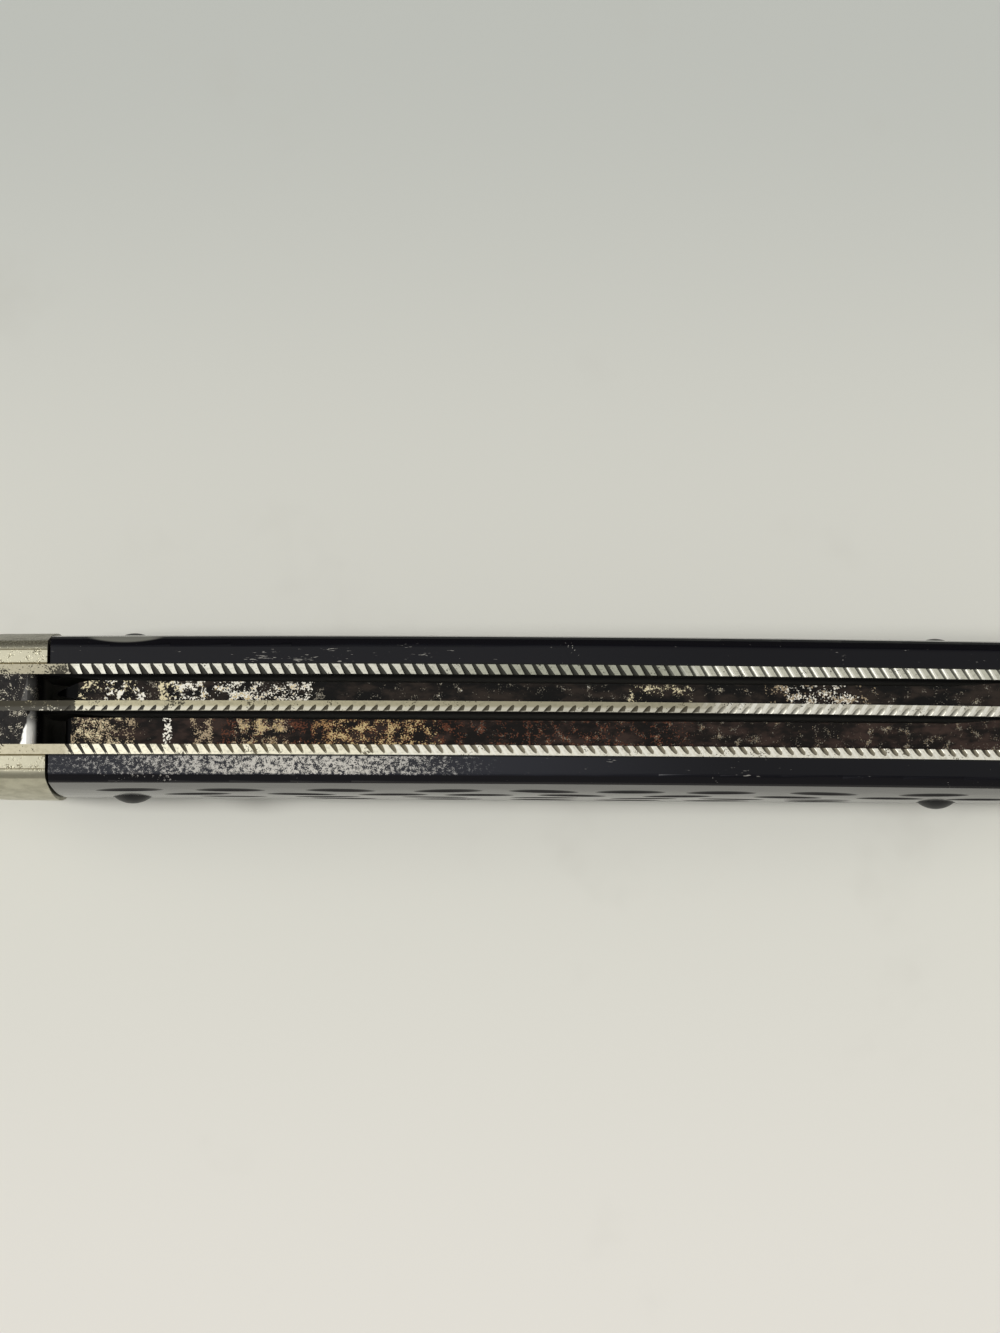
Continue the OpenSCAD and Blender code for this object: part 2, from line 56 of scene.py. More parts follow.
def colour(red, green, blue):
    """A colour as a screen shows it, 0 to 255, made ready for a shader."""
    parts = []
    for level in (red, green, blue):
        share = level / srgb_white
        if share <= srgb_toe_end:
            parts.append(share / srgb_toe_slope)
        else:
            parts.append(((share + srgb_offset) / (1 + srgb_offset)) ** srgb_power)
    return (*parts, 1)


def put(tree, kind, inputs, **options):
    """Add a shader node, set its options, and fill its inputs with values or links."""
    made = tree.nodes.new("ShaderNode" + kind)
    for name, option in options.items():
        setattr(made, name, option)
    for name, value in inputs.items():
        if isinstance(value, bpy.types.NodeSocket):
            tree.links.new(value, made.inputs[name])
        else:
            made.inputs[name].default_value = value
    return made


def work_out(tree, operation, first, second=0.0):
    """One sum on two numbers."""
    return put(tree, "Math", {0: first, 1: second}, operation=operation).outputs[0]


def times(tree, first, second):
    """One number times the other. Two masks give the mask of where both are."""
    return work_out(tree, "MULTIPLY", first, second)


def most(tree, first, second):
    """The larger of two numbers. Two masks give the mask of where either is."""
    return work_out(tree, "MAXIMUM", first, second)


def less(tree, first, second):
    """The first number less the second."""
    return work_out(tree, "SUBTRACT", first, second)


def gap(tree, first, second):
    """How far two numbers are apart."""
    return work_out(tree, "ABSOLUTE", less(tree, first, second))


def times_plus(tree, first, second, added):
    """The first number times the second, and a third added."""
    return put(tree, "Math", {0: first, 1: second, 2: added}, operation="MULTIPLY_ADD").outputs[0]


def step_up(tree, value, low, high):
    """A smooth rise from 0 at low to 1 at high, or a fall where high is the lower number."""
    inputs = {"Value": value, "From Min": low, "From Max": high}
    return put(tree, "MapRange", inputs, interpolation_type="SMOOTHSTEP").outputs["Result"]


# A Mix node has its numbers and its colours in sockets of their own.
mix_mask = 0
mix_first_number = 2
mix_second_number = 3
mixed_number = 0
mix_first_colour = 6
mix_second_colour = 7
mixed_colour = 2


def between(tree, mask, first, second):
    """The first colour where the mask is 0 and the second where it is 1."""
    inputs = {mix_mask: mask, mix_first_colour: first, mix_second_colour: second}
    return put(tree, "Mix", inputs, data_type="RGBA").outputs[mixed_colour]


def amount(tree, mask, first, second):
    """The first number where the mask is 0 and the second where it is 1."""
    inputs = {mix_mask: mask, mix_first_number: first, mix_second_number: second}
    return put(tree, "Mix", inputs, data_type="FLOAT").outputs[mixed_number]


def scaled(tree, place, share):
    """A place or a size, so many times larger."""
    return put(tree, "VectorMath", {0: place, "Scale": share}, operation="SCALE").outputs[0]


def sides_of(tree, place):
    """The X, Y and Z of a place or a direction."""
    return put(tree, "SeparateXYZ", {0: place}).outputs


def feed(tree, shader, values):
    """Link the values that change over a surface to its shader."""
    for name, value in values.items():
        tree.links.new(value, shader.inputs[name])


millimetres = 1000.0


def new_finish(name):
    """An empty material with its shader, and where a point lies on the knife in millimetres."""
    finish = bpy.data.materials.new(name)
    finish.use_nodes = True
    tree = finish.node_tree
    shader = tree.nodes["Principled BSDF"]
    spot = put(tree, "TexCoord", {}).outputs["Object"]
    return finish, tree, shader, scaled(tree, spot, millimetres)


def new_group(name, inputs, outputs):
    """A shader node group with named number or vector inputs and outputs."""
    group = bpy.data.node_groups.new(name, "ShaderNodeTree")
    kinds = {"number": "NodeSocketFloat", "vector": "NodeSocketVector"}
    for label, kind in inputs.items():
        group.interface.new_socket(label, in_out="INPUT", socket_type=kinds[kind])
    for label, kind in outputs.items():
        group.interface.new_socket(label, in_out="OUTPUT", socket_type=kinds[kind])
    came_in = group.nodes.new("NodeGroupInput").outputs
    goes_out = group.nodes.new("NodeGroupOutput").inputs
    return group, came_in, goes_out


def use(tree, group, inputs):
    """Place a group in a material with its own values, and give its outputs."""
    return put(tree, "Group", inputs, node_tree=group).outputs


# Soft noise with grains of a given size and stretch, and the patches where it is high. A patch
# starts where the noise passes From and is full where it passes To.
grain_roughness = 0.6
grain_group, given, result = new_group(
    "soft_grain",
    {
        "Place": "vector", "Size": "number", "Stretch": "vector", "Detail": "number",
        "From": "number", "To": "number",
    },
    {"Grain": "number", "Patches": "number"},
)
grain_box = scaled(grain_group, given["Stretch"], given["Size"])
in_grains = put(grain_group, "VectorMath", {0: given["Place"], 1: grain_box}, operation="DIVIDE").outputs[0]
noise_inputs = {"Vector": in_grains, "Scale": 1.0, "Detail": given["Detail"], "Roughness": grain_roughness}
noise = put(grain_group, "TexNoise", noise_inputs).outputs["Fac"]
grain_group.links.new(noise, result["Grain"])
grain_group.links.new(step_up(grain_group, noise, given["From"], given["To"]), result["Patches"])


def grains(tree, place, size, stretch=(1, 1, 1), detail=2.0):
    """Soft noise of this size in a material, between 0 and 1."""
    inputs = {"Place": place, "Size": size, "Stretch": stretch, "Detail": detail}
    return use(tree, grain_group, inputs)["Grain"]


def patches(tree, place, size, edges, stretch=(1, 1, 1), detail=2.0):
    """A mask of soft patches of this size in a material."""
    inputs = {"Place": place, "Size": size, "Stretch": stretch, "Detail": detail}
    inputs["From"], inputs["To"] = edges
    return use(tree, grain_group, inputs)["Patches"]


# Painted light: the sheet is lighter towards the mark side, as a lamp's falloff would make it, and lighter
# around the knife to offset its shade.
table_near = colour(220, 217, 209)
table_middle = colour(210, 209, 200)
table_far = colour(184, 186, 180)
table_smudge = colour(176, 173, 164)
table_half = 4
near_to_middle = (-55.0, -5.0)
middle_to_far = (5.0, 65.0)
smudge_size = 22
smudge_edges = (0.56, 0.8)
smudge_share = 0.25
table_finish, tree, shader, place = new_finish("table_sheet")
across = sides_of(tree, place)["Y"]
sheet = between(tree, step_up(tree, across, *near_to_middle), table_near, table_middle)
sheet = between(tree, step_up(tree, across, *middle_to_far), sheet, table_far)
smudges = patches(tree, place, smudge_size, smudge_edges, detail=4.0)
sheet = between(tree, times(tree, smudges, smudge_share), sheet, table_smudge)
feed(tree, shader, {"Base Color": sheet})
shader.inputs["Roughness"].default_value = 0.9
shader.inputs["IOR"].default_value = 1.1
table_mesh = bpy.data.meshes.new("table")
corners = [(-table_half, -table_half, 0), (table_half, -table_half, 0)]
corners += [(table_half, table_half, 0), (-table_half, table_half, 0)]
table_mesh.from_pydata(corners, [], [(0, 1, 2, 3)])
table_mesh.materials.append(table_finish)
table = bpy.data.objects.new("table", table_mesh)
bpy.context.scene.collection.objects.link(table)


# The light is a long pale ceiling strip over the knife and one soft lamp from the cap end. The
# room is dim, and its wall is paler on the mark side.

wall_pale = colour(150, 149, 146)
wall_dim = colour(62, 64, 68)
wall_turn = (-0.8, 0.5)
strip_pale = colour(232, 231, 228)
strip_middle = 0.1
strip_edges = (0.4, 0.16)
strip_ends = (-0.02, 0.12)
room = bpy.data.worlds.new("room")
bpy.context.scene.world = room
room.use_nodes = True
tree = room.node_tree
towards = sides_of(tree, put(tree, "TexCoord", {}).outputs["Generated"])
wall = between(tree, step_up(tree, towards["Y"], *wall_turn), wall_pale, wall_dim)
off_strip = gap(tree, towards["Y"], strip_middle)
strip = times(tree, step_up(tree, off_strip, *strip_edges), step_up(tree, towards["Z"], *strip_ends))
tree.links.new(between(tree, strip, wall, strip_pale), tree.nodes["Background"].inputs["Color"])
tree.nodes["Background"].inputs["Strength"].default_value = 1.0
lamp_data = bpy.data.lights.new("soft_lamp", "SUN")
lamp_data.angle = math.radians(10)
lamp_data.energy = 3.3
lamp = bpy.data.objects.new("soft_lamp", lamp_data)
lamp_from = Vector((-1.1, -0.05, 0.9))
lamp.location = look_at + lamp_from
lamp.rotation_euler = lamp_from.to_track_quat("Z", "Y").to_euler()
bpy.context.scene.collection.objects.link(lamp)


# The three liners are sheet nickel silver. Their open edges are cut with slanted grooves by a
# cutter on a mill, worn bright on the lands, and dark with old grime in the grooves and wells. The
# lands carry painted highlights, the grooves painted shade, and the wells painted light that lifts their
# dark.

rim_radius = 382.97
rim_middle_z = -364.37
end_start_x = 44.3
end_radius = 8.0
rim_meets_end = (44.9, 45.1)

# How deep a point lies under the open side of the handle. That side is a long shallow arch, whose
# middle is far under the table, and it runs down into a small round at each end.
depth_group, given, result = new_group("open_side_depth", {"Place": "vector"}, {"Depth": "number"})
sides = sides_of(depth_group, given["Place"])
off_middle = work_out(depth_group, "ABSOLUTE", sides["X"])
rim_up = less(depth_group, sides["Z"], rim_middle_z)
rim_square = times_plus(depth_group, off_middle, off_middle, times(depth_group, rim_up, rim_up))
rim_depth = less(depth_group, rim_radius, work_out(depth_group, "SQRT", rim_square))
past_start = most(depth_group, less(depth_group, off_middle, end_start_x), 0.0)
end_up = less(depth_group, sides["Z"], end_radius)
end_square = times_plus(depth_group, past_start, past_start, times(depth_group, end_up, end_up))
end_depth = less(depth_group, end_radius, work_out(depth_group, "SQRT", end_square))
at_end = step_up(depth_group, off_middle, *rim_meets_end)
depth_group.links.new(amount(depth_group, at_end, rim_depth, end_depth), result["Depth"])

# A mask of what lies down in the wells, from a given depth as far as the open back of the knife.
back_depths = (17.8, 17.2)
well_group, given, result = new_group(
    "down_in_well", {"Depth": "number", "From": "number", "To": "number"}, {"Mask": "number"}
)
sunk_in = step_up(well_group, given["Depth"], given["From"], given["To"])
off_back = step_up(well_group, given["Depth"], *back_depths)
well_group.links.new(times(well_group, sunk_in, off_back), result["Mask"])

# Small flecks of a given size in loose clusters, more of them where the share is higher.
cluster_pull = 0.8
bare_level = 1.25
share_pull = -0.7
fleck_group, given, result = new_group(
    "flecks",
    {"Place": "vector", "Size": "number", "Cluster": "number", "Share": "number", "Softness": "number"},
    {"Mask": "number"},
)
in_flecks = scaled(fleck_group, given["Place"], work_out(fleck_group, "DIVIDE", 1.0, given["Size"]))
fine = put(fleck_group, "TexNoise", {"Vector": in_flecks, "Scale": 1.0, "Detail": 2.0}).outputs["Fac"]
in_clusters = scaled(fleck_group, given["Place"], work_out(fleck_group, "DIVIDE", 1.0, given["Cluster"]))
wide = put(fleck_group, "TexNoise", {"Vector": in_clusters, "Scale": 1.0, "Detail": 1.0}).outputs["Fac"]
fleck_level = times_plus(fleck_group, wide, cluster_pull, fine)
edge = times_plus(fleck_group, given["Share"], share_pull, bare_level)
soft_edge = work_out(fleck_group, "ADD", edge, given["Softness"])
fleck_group.links.new(step_up(fleck_group, fleck_level, edge, soft_edge), result["Mask"])

# Sizes and colours that the three liners share.
first_groove_x = -38.8
groove_slant = math.radians(32)
wear_fade = 6.0
mottle_size = 0.22
mottle_stretch = (1.5, 1, 1)
mottle_edges = (0.42, 0.75)
mottle_share = 0.35
cap_end = (-38.2, -39.4)
rub_and_highlight_edges = (0.45, 0.2)
rub_and_highlight_share = 0.4
band_rise = 0.08
band_fall = 0.1
band_share = 0.8
crust_fade = 0.3
speck_share = 0.22
speck_cover = 0.9
uneven_size = 0.2
uneven_depth = 0.02
groove_depths = (0.018, 0.034)
groove_leans = (0.08, 0.16)
lean_fade = 0.08
grime_cover = 0.97
edge_highlight_clears = (0.0, 0.1)
edge_grime = 0.6
wall_run = {"From": 0.3, "To": 0.6}
wall_lightens = (1.5, 6.0)
grime_turns = (-34.0, -24.0)
clean_metallic = 0.85
clean_roughness = 0.38
grime_roughness = 0.75
stroke_size = 0.09
stroke_stretch = (6, 1, 1)
grime_brown = colour(30, 27, 20)
wall_dark = colour(30, 30, 29)
well_grey = colour(150, 148, 140)
liner_shade = colour(120, 118, 102)
liner_bright = colour(252, 250, 238)
liner_stain = colour(138, 130, 104)


def raise_relief(tree, shader, height, strength, distance, invert=False):
    """Let a height show as fine relief, so many metres deep."""
    bump = put(tree, "Bump", {"Height": height, "Strength": strength, "Distance": distance}, invert=invert)
    feed(tree, shader, {"Normal": bump.outputs["Normal"]})


def liner_silver(name, liner):
    """Nickel silver, painted brighter at the cap end as a painted highlight, with grime in the grooves and
    at the cap end.

    The metal is bright at the cap end, dull past highlight_fades, and worn clean again past worn_from.
    There, lit_wall_lean is how steep the clean walls of a groove are, those facing the lamp, and
    grime_and_shade_left is the share of grime that stays on the other walls and floors, as grime and
    painted shade. highlight_band is the painted highlight along the edge of a land beside a groove, in
    shares of the pitch. bright_edge_y is the edge that is rubbed and painted bright, as wear and painted
    highlight. cap_stain is how stained the cap end is, and crust is the share of crust on it, as far as
    crust_end.
    """
    finish, tree, shader, place = new_finish(name)
    sides = sides_of(tree, place)
    along = sides["X"]
    worn = step_up(tree, along, liner["worn_from"], liner["worn_from"] + wear_fade)
    # Painted highlight: the metal is painted brighter towards the cap end, on the lamp's side.
    metal = between(tree, step_up(tree, along, *liner["highlight_fades"]), liner["bright"], liner["dull"])
    metal = between(tree, worn, metal, liner["worn"])
    mottled = patches(tree, place, mottle_size, mottle_edges, mottle_stretch, detail=3.0)
    metal = between(tree, times(tree, mottled, mottle_share), metal, liner_shade)
    stained = times(tree, step_up(tree, along, *cap_end), liner["cap_stain"])
    metal = between(tree, stained, metal, liner_stain)

    # Painted highlight, partly wear: the centre liner's rubbed edge and a band beside each groove on the
    # worn stretch are painted bright.
    off_edge = gap(tree, sides["Y"], liner["bright_edge_y"])
    rubbed = times(tree, step_up(tree, off_edge, *rub_and_highlight_edges), rub_and_highlight_share)
    across = less(tree, sides["Y"], liner["middle_y"])
    from_first = less(tree, along, first_groove_x)
    from_first = times_plus(tree, across, math.tan(liner["slant"]), from_first)
    beside = work_out(tree, "FRACT", work_out(tree, "DIVIDE", from_first, liner["pitch"]))
    band_start, band_end = liner["highlight_band"]
    past_start = step_up(tree, beside, band_start, band_start + band_rise)
    before_end = step_up(tree, beside, band_end + band_fall, band_end)
    in_band = times(tree, past_start, before_end)
    rubbed = most(tree, rubbed, times(tree, in_band, times(tree, worn, band_share)))
    metal = between(tree, rubbed, metal, liner_bright)

    crusted = step_up(tree, along, liner["crust_end"], liner["crust_end"] + crust_fade)
    specks = {"Place": place, "Size": 0.14, "Cluster": 1.0, "Softness": 0.08}
    specks["Share"] = amount(tree, crusted, liner["crust"], speck_share)
    specks = use(tree, fleck_group, specks)["Mask"]
    depth = use(tree, depth_group, {"Place": place})["Depth"]
    normal = sides_of(tree, put(tree, "TexCoord", {}).outputs["Normal"])
    arch_lean = work_out(tree, "DIVIDE", along, rim_radius)
    lean = most(tree, gap(tree, normal["X"], arch_lean), work_out(tree, "ABSOLUTE", normal["Y"]))
    uneven = times_plus(tree, grains(tree, place, uneven_size), uneven_depth, depth)
    sunk = most(tree, step_up(tree, uneven, *groove_depths), step_up(tree, lean, *groove_leans))
    # Painted shade, with grime: on the worn stretch, grime stays on the floors and on the walls facing away
    # from the lamp, and is cleared from the walls facing it.
    lit_wall_limit = -liner["lit_wall_lean"]
    facing_off_lamp = step_up(tree, normal["X"], lit_wall_limit - lean_fade, lit_wall_limit + lean_fade)
    sunk = times(tree, sunk, amount(tree, worn, grime_cover, times(tree, facing_off_lamp, liner["grime_and_shade_left"])))
    # Painted reflection: the grime thins at the rubbed edge, so the metal shows bright there.
    sunk = times(tree, sunk, amount(tree, step_up(tree, off_edge, *edge_highlight_clears), edge_grime, 1.0))
    dirty = most(tree, sunk, times(tree, specks, speck_cover))
    grime = between(tree, step_up(tree, along, *grime_turns), grime_brown, liner["groove_dark"])
    skin = between(tree, dirty, metal, grime)

    # Painted light: the well walls are painted dark just under the edge and lighter deeper down, lifting
    # the dark of the wells.
    deep = use(tree, well_group, {"Depth": depth, **wall_run})["Mask"]
    wall = between(tree, step_up(tree, depth, *wall_lightens), wall_dark, well_grey)
    dirty = most(tree, dirty, deep)
    feed(tree, shader, {
        "Base Color": between(tree, deep, skin, wall),
        "Metallic": amount(tree, dirty, clean_metallic, 0.0),
        "Roughness": amount(tree, dirty, clean_roughness, grime_roughness),
    })
    shader.inputs["IOR"].default_value = 1.3
    strokes = grains(tree, place, stroke_size, stroke_stretch, detail=3.0)
    raise_relief(tree, shader, strokes, strength=0.25, distance=0.00002)
    return finish


def dress(name, finish):
    """Give a piece its finish."""
    slots = nodes[name].data.materials
    slots.clear()
    slots.append(finish)


# Only the centre liner has a rubbed edge, painted bright as wear and painted highlight, so the others' is
# put beyond the knife.
no_bright_edge_y = 10.0
pile_liner = {
    "bright": colour(228, 226, 212),
    "dull": colour(178, 179, 162),
    "highlight_fades": (-16, -2),
    "worn": colour(212, 211, 194),
    "worn_from": 8.0,
    "groove_dark": colour(26, 26, 19),
    "lit_wall_lean": 0.08,
    "grime_and_shade_left": 0.8,
    "highlight_band": (0.1, 0.32),
    "middle_y": 3.225,
    "pitch": 0.957,
    "slant": groove_slant,
    "bright_edge_y": no_bright_edge_y,
    "cap_stain": 0.8,
    "crust": 0.5,
    "crust_end": -38.9,
}
centre_liner = {
    "bright": colour(178, 171, 143),
    "dull": colour(168, 162, 138),
    "highlight_fades": (-20, 0),
    "worn": colour(210, 206, 190),
    "worn_from": 10.0,
    "groove_dark": colour(58, 53, 38),
    "lit_wall_lean": 0.5,
    "grime_and_shade_left": 0.5,
    "highlight_band": (0.16, 0.5),
    "middle_y": 0.275,
    "pitch": 0.985,
    "slant": -groove_slant,
    "bright_edge_y": -0.125,
    "cap_stain": 0.8,
    "crust": 0.8,
    "crust_end": -38.6,
}
mark_liner = {
    "bright": colour(246, 240, 216),
    "dull": colour(224, 219, 201),
    "highlight_fades": (-16, -2),
    "worn": colour(246, 242, 226),
    "worn_from": -16.0,
    "groove_dark": colour(82, 74, 52),
    "lit_wall_lean": 0.58,
    "grime_and_shade_left": 0.9,
    "highlight_band": (0.2, 0.4),
    "middle_y": -3.225,
    "pitch": 0.93,
    "slant": groove_slant,
    "bright_edge_y": no_bright_edge_y,
    "cap_stain": 0.7,
    "crust": 0.26,
    "crust_end": -38.9,
}
dress("pile_liner", liner_silver("pile_liner_silver", pile_liner))
dress("centre_liner", liner_silver("centre_liner_silver", centre_liner))
dress("mark_liner", liner_silver("mark_liner_silver", mark_liner))


# The four bolsters are cast nickel silver, ground flat at the open edge and rounded outside.
# The flats are finely pitted, and a dark line is painted along the crease outside each flat and
# against the liner. The pile side's flank is spotted darker brown.

bolster_light = colour(190, 186, 164)
bolster_dull = colour(168, 164, 144)
pit_brown = colour(92, 84, 60)
flank_spot_brown = colour(74, 69, 52)
cloud_size = 1.4
cloud_edges = (0.3, 0.72)
flat_depths = (0.06, 0.01)
flank_pits = 0.16
flat_pits = 0.36
pit_cover = 0.7
crease_y = 4.817
crease_edges = (0.09, 0.03)
crease_depths = (0.3, 0.1)
crease_cover = 0.75
seam_y = 3.625
seam_edges = (0.2, 0.1)
flank_spot_size = 0.14
flank_spot_edges = (0.3, 0.56)
pile_flank = (4.85, 5.3)
flank_spot_cover = 0.85
bolster_metallic = (1.0, 0.3)
bolster_roughness = (0.32, 0.44)
bolster_finish, tree, shader, place = new_finish("bolster_silver")
cloudy = patches(tree, place, cloud_size, cloud_edges, detail=4.0)
metal = between(tree, cloudy, bolster_light, bolster_dull)
depth = use(tree, depth_group, {"Place": place})["Depth"]
on_flat = step_up(tree, depth, *flat_depths)
pits = {"Place": place, "Size": 0.13, "Cluster": 0.5, "Softness": 0.14}
pits["Share"] = amount(tree, on_flat, flank_pits, flat_pits)
pits = use(tree, fleck_group, pits)["Mask"]
sides = sides_of(tree, place)
outward = work_out(tree, "ABSOLUTE", sides["Y"])
off_crease = gap(tree, outward, crease_y)
crease = times(tree, step_up(tree, off_crease, *crease_edges), step_up(tree, depth, *crease_depths))
seam = step_up(tree, less(tree, outward, seam_y), *seam_edges)
marks = most(tree, times(tree, pits, pit_cover), times(tree, crease, crease_cover))
marks = most(tree, marks, seam)
spotted = patches(tree, place, flank_spot_size, flank_spot_edges, detail=3.0)
spotted = times(tree, spotted, step_up(tree, sides["Y"], *pile_flank))
flank_darkening = times(tree, spotted, flank_spot_cover)
metal = between(tree, flank_darkening, metal, flank_spot_brown)
feed(tree, shader, {
    "Base Color": between(tree, marks, metal, pit_brown),
    "Metallic": amount(tree, flank_darkening, *bolster_metallic),
    "Roughness": amount(tree, cloudy, *bolster_roughness),
})
raise_relief(tree, shader, pits, strength=0.5, distance=0.00003, invert=True)
for name in ("mark_cap_bolster", "pile_cap_bolster", "mark_pivot_bolster", "pile_pivot_bolster"):
    dress(name, bolster_finish)


# The scales are black composition, jigged with a wheel and polished. The flat edge of the mark scale
# is scuffed and painted grey, partly scuffing and partly a painted sheen of the lamp. Both flats have
# fine scratches, and the pile scale has a painted highlight by its rivet at the cap end.

scale_black = colour(16, 15, 18)
flat_black = colour(13, 13, 18)
far_flat_black = colour(2, 2, 8)
far_flat = (-10.0, 20.0)
scuff_and_sheen_dark = colour(37, 38, 43)
scuff_and_sheen_haze = colour(34, 35, 41)
scratch_and_sheen_grey = colour(188, 184, 175)
faint_scuff_and_sheen_grey = colour(120, 120, 120)
mark_side = (0.0, -0.5)
scuff_and_sheen_begins = (-48.0, -20.0)
scuff_and_sheen_ends = (-2.5, -18.0)
sheen_haze_ends = (16.0, -8.0)
frost_and_glint_shares = (0.3, 0.64)
frost_and_glint_begins = (0.0, 0.3)
scratch_stretch = (0.14, 1.3, 1.3)
scratch_run = {"From": -26.0, "To": -8.0, "Fade": 3.0}
scratch_shares = (0.03, 0.2)
nick_cover = 0.5
scale_seam = (3.81, 3.72)
scale_seam_cover = 0.9
seam_black = colour(8, 8, 9)
painted_highlight_grey = colour(112, 111, 103)
highlight_x = -34.5
highlight_half = 3.5
highlight_width = 0.5
highlight_depth = -0.3
highlight_edges = (-0.1, 0.6)
highlight_outside = (5.8, 5.98)
waver_size = 1.6
waver_stretch = (2, 1, 1)
scale_roughness = (0.14, 0.3)

# A mask that is 1 over a stretch of the knife's length and fades out at both ends.
stretch_group, given, result = new_group(
    "stretch_of_length",
    {"Place": "vector", "From": "number", "To": "number", "Fade": "number"},
    {"Mask": "number"},
)
along = sides_of(stretch_group, given["Place"])["X"]
from_top = work_out(stretch_group, "ADD", given["From"], given["Fade"])
to_low = less(stretch_group, given["To"], given["Fade"])
rising = step_up(stretch_group, along, given["From"], from_top)
falling = step_up(stretch_group, along, given["To"], to_low)
stretch_group.links.new(times(stretch_group, rising, falling), result["Mask"])

scale_finish, tree, shader, place = new_finish("black_scale")
sides = sides_of(tree, place)
depth = use(tree, depth_group, {"Place": place})["Depth"]
on_flat = step_up(tree, depth, *flat_depths)
on_mark_flat = times(tree, on_flat, step_up(tree, sides["Y"], *mark_side))
# Painted sheen, partly scuffing: the mark scale's flat is painted grey with frost where the lamp's sheen
# falls.
scuff_and_sheen = times(tree, step_up(tree, sides["X"], *scuff_and_sheen_begins), step_up(tree, sides["X"], *scuff_and_sheen_ends))
scuff_and_sheen = times(tree, scuff_and_sheen, on_mark_flat)
# Painted shade: the flats are painted darker towards the pivot end, where the lamp's sheen fades.
flat = between(tree, step_up(tree, sides["X"], *far_flat), flat_black, far_flat_black)
skin = between(tree, on_flat, scale_black, flat)
sheen_haze = times(tree, step_up(tree, sides["X"], *sheen_haze_ends), on_mark_flat)
skin = between(tree, sheen_haze, skin, scuff_and_sheen_haze)
skin = between(tree, scuff_and_sheen, skin, scuff_and_sheen_dark)
frost_and_glint = {"Place": place, "Size": 0.075, "Cluster": 0.3, "Softness": 0.14}
frost_and_glint["Share"] = amount(tree, scuff_and_sheen, *frost_and_glint_shares)
frost_and_glint = times(tree, use(tree, fleck_group, frost_and_glint)["Mask"], step_up(tree, scuff_and_sheen, *frost_and_glint_begins))
skin = between(tree, frost_and_glint, skin, between(tree, scuff_and_sheen, faint_scuff_and_sheen_grey, scratch_and_sheen_grey))

nicks = {"Place": place, "Size": 0.16, "Cluster": 2.0, "Share": 0.02, "Softness": 0.06}
nicks = use(tree, fleck_group, nicks)["Mask"]
drawn_out = put(tree, "VectorMath", {0: place, 1: scratch_stretch}, operation="MULTIPLY").outputs[0]
scratched = use(tree, stretch_group, {"Place": place, **scratch_run})["Mask"]
scratches = {"Place": drawn_out, "Size": 0.1, "Cluster": 0.5, "Softness": 0.05}
scratches["Share"] = amount(tree, scratched, *scratch_shares)
scratches = times(tree, use(tree, fleck_group, scratches)["Mask"], on_flat)
nicks = most(tree, nicks, scratches)
skin = between(tree, times(tree, nicks, nick_cover), skin, scratch_and_sheen_grey)
seam = step_up(tree, work_out(tree, "ABSOLUTE", sides["Y"]), *scale_seam)
skin = between(tree, times(tree, seam, scale_seam_cover), skin, seam_black)

# The painted highlight is a soft grey lens on the outer edge of the pile scale, widest beside the rivet.
off_rivet = work_out(tree, "DIVIDE", less(tree, sides["X"], highlight_x), highlight_half)
lens = less(tree, 1.0, times(tree, off_rivet, off_rivet))
lens_edge = times_plus(tree, lens, highlight_width, sides["Y"])
lens = step_up(tree, times_plus(tree, depth, highlight_depth, lens), *highlight_edges)
painted_highlight = times(tree, lens, step_up(tree, lens_edge, *highlight_outside))
feed(tree, shader, {
    "Base Color": between(tree, painted_highlight, skin, painted_highlight_grey),
    "Roughness": amount(tree, on_flat, *scale_roughness),
})
shader.inputs["IOR"].default_value = 1.32
waver = grains(tree, place, waver_size, waver_stretch, detail=1.0)
raise_relief(tree, shader, waver, strength=0.3, distance=0.00004)
for name in ("mark_scale", "pile_scale"):
    dress(name, scale_finish)


# The two springs are hardened steel, dark with age, with flecks of bare metal on their butt ends.
# The corner of the main spring's butt end carries a painted highlight, and the springs are painted grey low
# in the wells, painted light that lifts their dark.

spring_brown = colour(32, 29, 27)
spring_black = colour(15, 14, 14)
spring_fleck = colour(172, 166, 150)
spring_highlight_white = colour(255, 253, 246)
spring_cloud_size = 0.9
spring_cloud_edges = (0.35, 0.7)
spring_fleck_shares = (0.3, 0.12)
fleck_depths = (0.8, 2.5)
well_lift_run = {"From": 3.0, "To": 6.0}
corner_waver = 0.4
corner_slant = -0.28
corner_begins = (-42.75, -42.6)
corner_ends = (-41.6, -41.85)
corner_heights = (15.1, 15.7)
corner_dims = (1.2, 2.2)
dimmed_share = 0.25
spring_metallic = (0.3, 0.85)
spring_roughness = (0.6, 0.3)


